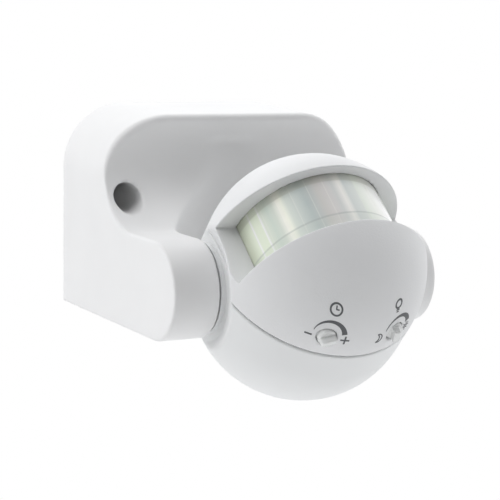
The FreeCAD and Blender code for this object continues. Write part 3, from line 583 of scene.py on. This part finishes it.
def scale_arc(knob_x):
    """The scale over a knob: an arc that swells from a point to its thick end."""
    centre = (knob_x + SCALE_SHIFT[0], KNOB_REACH + SCALE_SHIFT[1])
    path = arc((0, 0), 1, *SCALE_TURN)
    radii = np.linspace(*SCALE_RADII, len(path))
    return stroke(path * radii[:, None] + centre, np.linspace(*SCALE_WIDTHS, len(path)))


def time_marks():
    """Less and more at the ends of the scale, and a clock above it."""
    less, more, clock = (-14.6, 19.6), (-5.4, 19.7), (-9.4, 27.6)
    long_hand, short_hand = (clock[0], clock[1] + 0.45), (clock[0] + 0.35, clock[1])
    return [scale_arc(-KNOB_X), bar(less, 1.7), bar(more, 2.4), bar(more, 2.4, 90),
            ring(clock, 1.45, LINE), bar(long_hand, 1.0, 90, THIN),
            bar(short_hand, 0.8, 0, THIN)]


def lux_marks():
    """A moon and a sun at the ends of the scale, and a lamp above it."""
    moon, sun, lamp = (4.3, 19.6), (14.1, 19.6), (8.8, 28.0)
    marks = [scale_arc(KNOB_X), curve(moon, 1.3, -105, 105),
             curve((moon[0] - 1.0, moon[1]), 1.42, -60, 60), ring(sun, 0.5),
             ring(lamp, 1.0, LINE)]
    ray, ray_reach, ray_width = 0.45, 1.05, 0.25
    for turn in range(0, 360, 45):
        way = math.radians(turn)
        tip = (sun[0] + ray_reach * math.cos(way), sun[1] + ray_reach * math.sin(way))
        marks.append(bar(tip, ray, turn, ray_width))
    for below, length in ((1.45, 1.0), (1.95, 0.7)):
        marks.append(bar((lamp[0], lamp[1] - below), length, 0, THIN))
    return marks


# ---------------------------------------------------------------- materials


def material(name, build):
    """A material whose nodes are made by build."""
    made = bpy.data.materials.new(name)
    made.use_nodes = True
    tree = made.node_tree
    build(tree, tree.nodes["Principled BSDF"])
    return made


def join(tree, source, target):
    tree.links.new(source, target)


def ranged(tree, value, ends, results, kind="LINEAR"):
    """value from ends[0] to ends[1], spread from results[0] to results[1]."""
    node = tree.nodes.new("ShaderNodeMapRange")
    node.interpolation_type = kind
    for label, number in zip(("From Min", "From Max", "To Min", "To Max"), (*ends, *results)):
        node.inputs[label].default_value = number
    join(tree, value, node.inputs["Value"])
    return node.outputs["Result"]


def noise(tree, size, detail=2.0):
    """A noise with features of about size metres, fixed to its piece."""
    place = tree.nodes.new("ShaderNodeTexCoord")
    node = tree.nodes.new("ShaderNodeTexNoise")
    node.inputs["Scale"].default_value = 1 / size
    node.inputs["Detail"].default_value = detail
    join(tree, place.outputs["Object"], node.inputs["Vector"])
    return node.outputs["Fac"]


NOISE_ENDS = (0.3, 0.7)     # where nearly all of a noise lies


def spread(tree, value, low, high):
    """A noise spread from low to high."""
    return ranged(tree, value, NOISE_ENDS, (low, high))


def mixed(tree, fac, first, second):
    """A colour between first and second, which may be sockets or plain colours."""
    node = tree.nodes.new("ShaderNodeMix")
    node.data_type = "RGBA"
    for socket, value in ((node.inputs["Factor"], fac), (node.inputs[6], first),
                          (node.inputs[7], second)):
        if isinstance(value, (tuple, float)):
            socket.default_value = (*value, 1.0) if isinstance(value, tuple) else value
        else:
            join(tree, value, socket)
    return node.outputs[2]


def sums(tree, operation, *values):
    """A math node's result, for sockets or plain numbers."""
    node = tree.nodes.new("ShaderNodeMath")
    node.operation = operation
    for socket, value in zip(node.inputs, values):
        if isinstance(value, (int, float)):
            socket.default_value = value
        else:
            join(tree, value, socket)
    return node.outputs[0]


def fade(tree, value, start, end):
    """1 where value is at start or short of it, falling smoothly to 0 at end."""
    return ranged(tree, value, (start, end), (1.0, 0.0), "SMOOTHSTEP")


def bumped(tree, shader, height, depth):
    node = tree.nodes.new("ShaderNodeBump")
    node.inputs["Distance"].default_value = depth
    node.inputs["Strength"].default_value = 1.0
    join(tree, height, node.inputs["Height"])
    join(tree, node.outputs["Normal"], shader.inputs["Normal"])


FLOW_SIZE = 0.02
GLOSS_SIZE = 0.004
GLOSS_CHANGE = 0.03
TINT = 0.012


def moulded(name, colour, rough, grain=0.25e-3, depth=4e-6, tint=TINT):
    """A moulded plastic: a hint of flow in its colour, uneven gloss and a fine grain."""
    def build(tree, shader):
        flow = spread(tree, noise(tree, FLOW_SIZE), 0.0, 1.0)
        pale = tuple(min(1.0, c + tint) for c in colour)
        deep = tuple(max(0.0, c - tint) for c in colour)
        join(tree, mixed(tree, flow, deep, pale), shader.inputs["Base Color"])
        gloss = noise(tree, GLOSS_SIZE, 3.0)
        join(tree, spread(tree, gloss, rough - GLOSS_CHANGE, rough + GLOSS_CHANGE),
             shader.inputs["Roughness"])
        bumped(tree, shader, noise(tree, grain, 1.0), depth)
    return material(name, build)


TARNISH_SIZE = 0.0015
TARNISH_TONE = 0.85
POLISH_SIZE = 0.0006
POLISH_CHANGE = 0.08


def metal(name, colour, rough):
    """A plated or plain metal, a little tarnished and unevenly polished."""
    def build(tree, shader):
        shader.inputs["Metallic"].default_value = 1.0
        tone = spread(tree, noise(tree, TARNISH_SIZE), 0.0, 1.0)
        dark = tuple(c * TARNISH_TONE for c in colour)
        join(tree, mixed(tree, tone, dark, colour), shader.inputs["Base Color"])
        gloss = noise(tree, POLISH_SIZE)
        join(tree, spread(tree, gloss, rough - POLISH_CHANGE, rough + POLISH_CHANGE),
             shader.inputs["Roughness"])
    return material(name, build)


# Painted light and shade of the lens over its own greenish tint, with bright streaks, from its left end to its
# right one, in degrees
LENS_PAINTED_LIGHT = [
    (-90, (0.42, 0.45, 0.35)), (-79, (0.50, 0.54, 0.43)), (-72, (0.60, 0.65, 0.53)),
    (-71, (0.86, 0.89, 0.80)), (-70, (0.60, 0.65, 0.53)), (-63.5, (0.60, 0.65, 0.53)),
    (-62.5, (0.90, 0.93, 0.84)), (-61.5, (0.56, 0.60, 0.52)), (-55.5, (0.48, 0.54, 0.48)),
    (-51, (0.52, 0.56, 0.50)), (-47, (0.72, 0.75, 0.64)), (-44, (0.70, 0.73, 0.62)),
    (-41, (0.52, 0.56, 0.51)), (-36, (0.46, 0.50, 0.47)), (-28, (0.37, 0.42, 0.41)),
    (-24, (0.40, 0.43, 0.42)), (-18, (0.47, 0.46, 0.44)), (-12, (0.52, 0.50, 0.49)),
    (-6, (0.50, 0.51, 0.50)), (-1, (0.68, 0.67, 0.64)), (1, (0.66, 0.66, 0.63)),
    (3, (0.50, 0.53, 0.52)), (11, (0.56, 0.59, 0.56)), (13, (0.62, 0.66, 0.60)),
    (24, (0.70, 0.74, 0.67)), (37, (0.74, 0.78, 0.72)), (62, (0.66, 0.70, 0.63)),
    (90, (0.48, 0.51, 0.43))]
# How much brighter the lit sheet is than those painted tones, and the brightest that it gets
LENS_GAIN = 1.364
LENS_BRIGHTEST = 0.97
LENS_PAINTED_TONES = [(turn, tuple(min(LENS_BRIGHTEST, LENS_GAIN * part) for part in shade))
              for turn, shade in LENS_PAINTED_LIGHT]


# Colours that lie over these painted tones, each with how much of it shows: a painted highlight on the facets'
# edges, the lower row of facets, painted shade in the line above that row, the plain rim at the top, and
# cloudiness in the plastic
EDGE_HIGHLIGHT_COLOUR, EDGE_HIGHLIGHT_PART = (0.85, 0.87, 0.80), 0.3
ROW_COLOUR, ROW_PART = (0.55, 0.60, 0.54), 0.22
CREASE_SHADE_COLOUR, CREASE_SHADE_PART = (0.30, 0.34, 0.33), 0.35
RIM_COLOUR, RIM_PART = (0.40, 0.41, 0.33), 0.45
CLOUD_COLOUR, CLOUD_PART, CLOUD_SIZE = (0.72, 0.74, 0.68), 0.12, 0.003
LENS_GLOSS = (0.16, 0.26)


def painted_lens_light(tree, around):
    """The facets' painted light and shade, for a place from 0 to 1 round the lens."""
    tones = tree.nodes.new("ShaderNodeValToRGB")
    stops = tones.color_ramp.elements
    while len(stops) > 1:
        stops.remove(stops[0])
    stops[0].position = 0.0
    for turn, _ in LENS_PAINTED_TONES[1:]:
        stops.new(turn / 180 + 0.5)
    for stop, (_, colour) in zip(stops, LENS_PAINTED_TONES):
        stop.color = (*colour, 1.0)
    join(tree, around, tones.inputs["Fac"])
    return tones.outputs["Color"]


def lens_look(name):
    """Milky polyethylene with its light and shade painted on: a painted tone for each facet, painted highlights on
    their edges, painted shade in the line between the rows, and a darker plain rim.
    """
    def build(tree, shader):
        place = tree.nodes.new("ShaderNodeUVMap")
        place.uv_map = "sheet"
        parts = tree.nodes.new("ShaderNodeSeparateXYZ")
        join(tree, place.outputs["UV"], parts.inputs[0])
        around, height = parts.outputs[0], parts.outputs[1]
        facet = FACET / 180
        off = sums(tree, "SUBTRACT", around, 0.5 % facet)
        off = sums(tree, "PINGPONG", off, facet / 2)
        row, rim = ((z - LENS_LOW) / (LENS_HIGH - LENS_LOW) for z in (ROW_LINE, RIM_LINE))
        away = sums(tree, "ABSOLUTE", sums(tree, "SUBTRACT", height, row))
        above_rim = sums(tree, "SUBTRACT", 1.0, fade(tree, height, rim - 0.012, rim + 0.02))
        colour = painted_lens_light(tree, around)
        # Painted highlights on the facets' edges, the lower row's tint, painted shade in the row line, and the
        # darker rim
        for shown, part, over in (
                (fade(tree, off, 0.0012, 0.0028), EDGE_HIGHLIGHT_PART, EDGE_HIGHLIGHT_COLOUR),
                (fade(tree, height, row - 0.004, row + 0.004), ROW_PART, ROW_COLOUR),
                (fade(tree, away, 0.004, 0.02), CREASE_SHADE_PART, CREASE_SHADE_COLOUR),
                (above_rim, RIM_PART, RIM_COLOUR)):
            colour = mixed(tree, sums(tree, "MULTIPLY", shown, part), colour, over)
        cloud = spread(tree, noise(tree, CLOUD_SIZE, 3.0), 0.0, CLOUD_PART)
        join(tree, mixed(tree, cloud, colour, CLOUD_COLOUR), shader.inputs["Base Color"])
        join(tree, spread(tree, noise(tree, GLOSS_SIZE), *LENS_GLOSS), shader.inputs["Roughness"])
    return material(name, build)


# Each slot's colour and roughness, then, where they aren't the usual ones, the size and depth of
# the grain in metres and the change of tone
PLASTICS = {
    "casing_white": ((0.86, 0.86, 0.86), 0.42, 0.3e-3, 3e-6),
    "head_grey": ((0.84, 0.85, 0.85), 0.36, 0.3e-3, 2e-6),
    "head_grain": ((0.81, 0.815, 0.82), 0.5, 0.5e-3, 40e-6),
    "plate_white": ((0.78, 0.78, 0.77), 0.5),
    "inner_black": ((0.03, 0.03, 0.033), 0.45),
    "rubber_grey": ((0.26, 0.27, 0.28), 0.7, 0.4e-3, 8e-6),
    "foam_grey": ((0.22, 0.22, 0.23), 0.85, 0.5e-3, 60e-6, 0.03),
    "relay_blue": ((0.04, 0.10, 0.30), 0.3),
    "film_yellow": ((0.62, 0.42, 0.06), 0.35),
    "can_dark": ((0.02, 0.02, 0.035), 0.3),
    "varistor_blue": ((0.03, 0.12, 0.22), 0.35),
    "terminal_pa": ((0.70, 0.69, 0.64), 0.45),
    "socket_cream": ((0.72, 0.68, 0.55), 0.45),
    "chip_black": ((0.02, 0.02, 0.02), 0.55),
    "cell_orange": ((0.50, 0.20, 0.06), 0.4),
    "pot_blue": ((0.03, 0.11, 0.30), 0.35),
    "board_green": ((0.02, 0.16, 0.08), 0.3),
    "filter_dark": ((0.03, 0.025, 0.03), 0.15),
    "lead_black": ((0.02, 0.02, 0.02), 0.5),
    "print_grey": ((0.10, 0.105, 0.11), 0.45),
    "knob_milk": ((0.80, 0.81, 0.80), 0.2),
}
METALS = {
    "can_metal": ((0.62, 0.62, 0.60), 0.35),
    "brass_plain": ((0.70, 0.50, 0.20), 0.35),
    "steel_zinc": ((0.60, 0.60, 0.58), 0.35),
}
looks = {slot: moulded(slot, *values) for slot, values in PLASTICS.items()}
looks.update({slot: metal(slot, *values) for slot, values in METALS.items()})
looks["lens_milk"] = lens_look("lens_milk")


def dress(piece, slot, node):
    """Gives a new piece the look of its slot, and hides the CAD node that it stands for."""
    piece.data.materials.append(looks[slot])
    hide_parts(node)
    return piece


for entry in frame["record"]["subparts"]:
    for place in frame["nodes"][entry["node"]].material_slots:
        place.material = looks[entry["material_slot"]]

# ---------------------------------------------------------------- the pieces

ROOM = 1.5      # clear space round each piece inside its grid
FINE = 1.0
CASING_CELL = 0.7 * FINE
SHELL_CELL = 0.5 * FINE
KNOB_CELL = 0.14 * FINE

casing = moulding("bracket_casing", bracket_casing, housing_low - ROOM, housing_high + ROOM,
                  CASING_CELL, in_bracket)
dress(casing, "casing_white", "bracket_housing")
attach(casing, "bracket")

ball_low = np.array([-BALL, -SEAM - BALL, BALL_Z - BALL]) - ROOM
ball_high = np.array([BALL, BALL - REAR_CENTRE, BALL_Z + BALL]) + ROOM
for name, field, node, slot in (("head_back", rear_shell, "head_rear_shell", "head_grey"),
                                ("head_front", front_shell, "head_front_shell", "head_grain")):
    shell = moulding(name, field, ball_low, ball_high, SHELL_CELL, in_head)
    dress(shell, slot, node)
    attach(shell, "head")

lens = dress(lens_sheet("lens"), "lens_milk", "fresnel_lens")
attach(lens, "head")

for name, marks in (("time_print", time_marks()), ("lux_print", lux_marks())):
    print_piece = printed(name, marks)
    print_piece.data.materials.append(looks["print_grey"])
    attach(print_piece, "head")


def in_dial(side, turn):
    """The function that seats a knob, set at turn degrees, on the left (-1) or the right (1)."""
    way = math.radians(turn)
    spin = np.array([[math.cos(way), -math.sin(way), 0], [math.sin(way), math.cos(way), 0],
                     [0, 0, 1]])
    return lambda points: in_head(points @ spin + (side * KNOB_X, -KNOB_REACH, 0))


knob_low = np.array([-KNOB_RADIUS, -KNOB_RADIUS, -KNOB_FACE - 2]) - 1
knob_high = np.array([KNOB_RADIUS, KNOB_RADIUS, SHAFT_TOP + 1.4]) + 1
for name, side, turn in (("time", -1, 15), ("lux", 1, 105)):
    dial = moulding(name + "_dial_knob", knob, knob_low, knob_high, KNOB_CELL,
                    in_dial(side, turn))
    dress(dial, "knob_milk", name + "_knob")
    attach(dial, name + "_dial")

# ---------------------------------------------------------------- stage, light and camera

FLOOR_DROP = 0.6        # metres from the object down to the floor, which it is held above
FLOOR_SIZE = 60
FRONT = (-0.2, -1.0, 0.0)
SHADE_ENDS = (0.25, 0.62)       # cosines from FRONT where the light starts and ends its fall
STUDIO_POWER = (1.33, 0.03)     # all round, and in front
STUDIO_COLOUR = (0.985, 0.99, 1.0, 1.0)


def backdrop(tree, lit, seen, output):
    """Shows lit to the light and seen to the camera."""
    rays = tree.nodes.new("ShaderNodeLightPath")
    choice = tree.nodes.new("ShaderNodeMixShader")
    join(tree, rays.outputs["Is Camera Ray"], choice.inputs["Fac"])
    join(tree, lit, choice.inputs[1])
    join(tree, seen, choice.inputs[2])
    join(tree, choice.outputs["Shader"], output.inputs["Surface"])


def floor_look(tree, shader):
    """Pale, and as white as the backdrop where it is seen directly."""
    tone = spread(tree, noise(tree, 0.5), 0.0, 1.0)
    join(tree, mixed(tree, tone, (0.86, 0.86, 0.86), (0.88, 0.88, 0.88)),
         shader.inputs["Base Color"])
    shader.inputs["Roughness"].default_value = 0.9
    white = tree.nodes.new("ShaderNodeEmission")
    backdrop(tree, shader.outputs["BSDF"], white.outputs["Emission"],
             tree.nodes["Material Output"])


def studio_light(tree):
    """White all round, with the dark side of the studio in front. The backdrop itself is white."""
    way = tree.nodes.new("ShaderNodeTexCoord")
    facing = tree.nodes.new("ShaderNodeVectorMath")
    facing.operation = "DOT_PRODUCT"
    facing.inputs[1].default_value = Vector(FRONT).normalized()
    join(tree, way.outputs["Generated"], facing.inputs[0])
    power = ranged(tree, facing.outputs["Value"], SHADE_ENDS, STUDIO_POWER, "SMOOTHSTEP")
    lights = tree.nodes["Background"]
    join(tree, power, lights.inputs["Strength"])
    lights.inputs["Color"].default_value = STUDIO_COLOUR
    white = tree.nodes.new("ShaderNodeBackground")
    white.inputs["Color"].default_value = (1, 1, 1, 1)
    backdrop(tree, lights.outputs["Background"], white.outputs["Background"],
             tree.nodes["World Output"])


bpy.ops.mesh.primitive_plane_add(size=FLOOR_SIZE, location=(0, 0, BOTTOM * MM - FLOOR_DROP))
floor = bpy.context.object
floor.name = "floor"
floor.data.materials.append(material("floor_pale", floor_look))

world = bpy.data.worlds.new("studio")
bpy.context.scene.world = world
world.use_nodes = True
studio_light(world.node_tree)


def softbox(name, place, aim, size, power):
    data = bpy.data.lights.new(name, "AREA")
    data.size = size
    data.energy = power
    light = bpy.data.objects.new(name, data)
    light.location = place
    light.rotation_euler = (aim - place).to_track_quat("-Z", "Y").to_euler()
    bpy.context.scene.collection.objects.link(light)


middle = (Vector(cad_box[0]) + Vector(cad_box[1])) / 2
softbox("key_light", middle + Vector((-0.6, -0.1, 0.8)), middle, size=0.6, power=1.0)

CAMERA_SEAT = Vector((-207.8, -431.8, 48.5)) * MM
CAMERA_ANGLES = (28.13, 8.21, 1.09)     # turned from straight ahead, raised, and rolled
CAMERA_LENS = 112.57


def camera():
    """The camera of the reference view."""
    data = bpy.data.cameras.new("camera")
    data.lens = CAMERA_LENS
    data.sensor_width = 36
    data.clip_start, data.clip_end = 0.05, 100
    turn, height, roll = (math.radians(a) for a in CAMERA_ANGLES)
    back = Vector((-math.sin(turn) * math.cos(height), -math.cos(turn) * math.cos(height),
                   math.sin(height)))
    right = Vector((math.cos(turn), -math.sin(turn), 0))
    top = back.cross(right)
    side = right * math.cos(roll) + top * math.sin(roll)
    top = top * math.cos(roll) - right * math.sin(roll)
    seat = bpy.data.objects.new("camera", data)
    bpy.context.scene.collection.objects.link(seat)
    seat.matrix_world = Matrix((side, top, back)).transposed().to_4x4()
    seat.location = CAMERA_SEAT
    bpy.context.scene.camera = seat


camera()
bpy.context.scene.view_settings.view_transform = "Standard"
